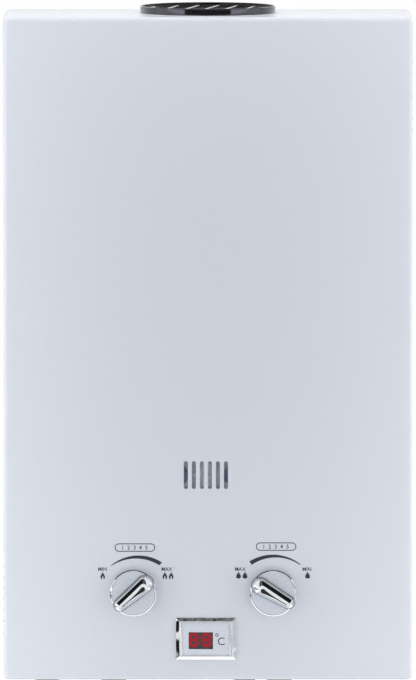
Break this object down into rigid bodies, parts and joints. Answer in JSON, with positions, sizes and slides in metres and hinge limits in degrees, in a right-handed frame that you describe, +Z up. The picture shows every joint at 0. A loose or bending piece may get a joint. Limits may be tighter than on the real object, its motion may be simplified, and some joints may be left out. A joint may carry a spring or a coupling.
{
  "type": "tankless gas water heater",
  "caption": "Wall-hung tankless gas water heater with a white sheet casing, a round flue collar on top, pointer knobs, a framed digital display and pipe stubs below.",
  "frame": {"origin": "centre of the four wall holes, on the plane of the wall", "axes": "+X to the right as seen from the front, +Y back into the wall, +Z up"},
  "size_m": [0.3344, 0.1673, 0.563],
  "materials": {
    "white_enamel": "gloss",
    "galvanised_steel": "satin",
    "zinc_screw": "satin",
    "black_enamel": "gloss",
    "black_wire": "satin",
    "aluminised_steel": "satin",
    "copper": "satin",
    "stainless_steel": "satin",
    "cast_aluminium": "matte",
    "brass": "satin",
    "spring_steel": "polished",
    "nitrile_rubber": "matte",
    "chrome": "polished",
    "silver_face": "satin",
    "red_filter": "gloss",
    "board_green": "satin",
    "black_plastic": "matte",
    "white_plastic": "satin",
    "cell_jacket": "satin",
    "ceramic": "matte",
    "silicone_red": "satin",
    "silicone_black": "satin"
  },
  "bodies": {
    "casing": {"back_chassis": "galvanised_steel", "front_cover": "white_enamel", "bottom_plate": "galvanised_steel", "sheet_screws": "zinc_screw", "flue_collar": "black_enamel", "flue_grille": "black_wire", "draft_hood": "aluminised_steel", "exchanger_shell": "copper", "exchanger_fins": "copper", "exchanger_tubes": "copper", "wrap_coil": "copper", "exchanger_brackets": "galvanised_steel", "burner_blades": "stainless_steel", "burner_frame": "aluminised_steel", "burner_manifold": "cast_aluminium", "burner_jets": "brass", "gas_valve_body": "cast_aluminium", "gas_solenoid": "galvanised_steel", "gas_inlet_fitting": "brass", "diaphragm": "nitrile_rubber", "water_valve_body": "brass", "diaphragm_cover": "brass", "valve_screws": "zinc_screw", "cold_inlet_fitting": "brass", "inlet_strainer": "stainless_steel", "water_feed_pipe": "copper", "hot_outlet_pipe": "copper", "hot_outlet_fitting": "brass", "pipe_locknuts": "brass", "igniter_box": "black_plastic", "electrode_ceramics": "ceramic", "electrode_rods": "stainless_steel", "electrode_bracket": "stainless_steel", "electrode_leads": "silicone_red", "signal_leads": "silicone_black", "overheat_thermostat": "black_plastic", "temperature_probe": "brass", "display_bezel": "chrome", "display_faceplate": "silver_face", "display_window": "red_filter", "display_board": "board_green", "battery_box": "white_plastic", "battery_cells": "cell_jacket", "battery_contacts": "spring_steel", "micro_switch": "black_plastic"},
    "temperature_dial": {"temperature_knob": "silver_face", "temperature_pointer": "chrome", "temperature_spindle": "brass"},
    "flow_dial": {"flow_knob": "silver_face", "flow_pointer": "chrome", "flow_spindle": "brass"},
    "battery_flap": {"battery_door": "white_plastic"},
    "water_governor": {"push_rod": "stainless_steel", "gas_disc": "nitrile_rubber", "gas_disc_spring": "spring_steel", "diaphragm_plate": "stainless_steel"},
    "switch_plunger": {"switch_button": "white_plastic"},
    "gas_lock": {"solenoid_plunger": "stainless_steel"},
    "drain_ring": {"drain_seal": "nitrile_rubber"},
    "drain_stopper": {"drain_plug": "black_plastic"}
  },
  "joints": [
    {"name": "temperature_turn", "type": "hinge", "parent": "casing", "child": "temperature_dial", "pos_m": [-0.06, -0.15, -0.197], "axis": [0, -1, 0], "range_deg": [0, 110]},
    {"name": "flow_turn", "type": "hinge", "parent": "casing", "child": "flow_dial", "pos_m": [0.0528, -0.15, -0.197], "axis": [0, 1, 0], "range_deg": [0, 120]},
    {"name": "battery_door_swing", "type": "hinge", "parent": "casing", "child": "battery_flap", "pos_m": [0.121, -0.0755, -0.2649], "axis": [1, 0, 0], "range_deg": [0, 95]},
    {"name": "water_slide", "type": "slide", "parent": "casing", "child": "water_governor", "axis": [-1, 0, 0], "range_m": [0, 0.004], "stiffness_N_per_m": 400, "springref_m": -0.003, "deforming": ["gas_disc_spring"]},
    {"name": "switch_slide", "type": "slide", "parent": "casing", "child": "switch_plunger", "axis": [0, 0, -1], "range_m": [0, 0.0012]},
    {"name": "gas_lock_slide", "type": "slide", "parent": "casing", "child": "gas_lock", "axis": [-1, 0, 0], "range_m": [0, 0.0025], "stiffness_N_per_m": 300, "springref_m": -0.002},
    {"name": "drain_slide", "type": "slide", "parent": "casing", "child": "drain_ring", "axis": [0, 0, -1], "range_m": [0, 0.006]},
    {"name": "drain_turn", "type": "hinge", "parent": "drain_ring", "child": "drain_stopper", "pos_m": [0.03, -0.085, -0.2755], "axis": [0, 0, -1], "range_deg": [0, 1440]}
  ],
  "couplings": [
    {"joint": "switch_slide", "follows": "water_slide", "ratio": 0.3},
    {"joint": "drain_turn", "follows": "drain_slide", "rad_per_m": 4188.8}
  ]
}
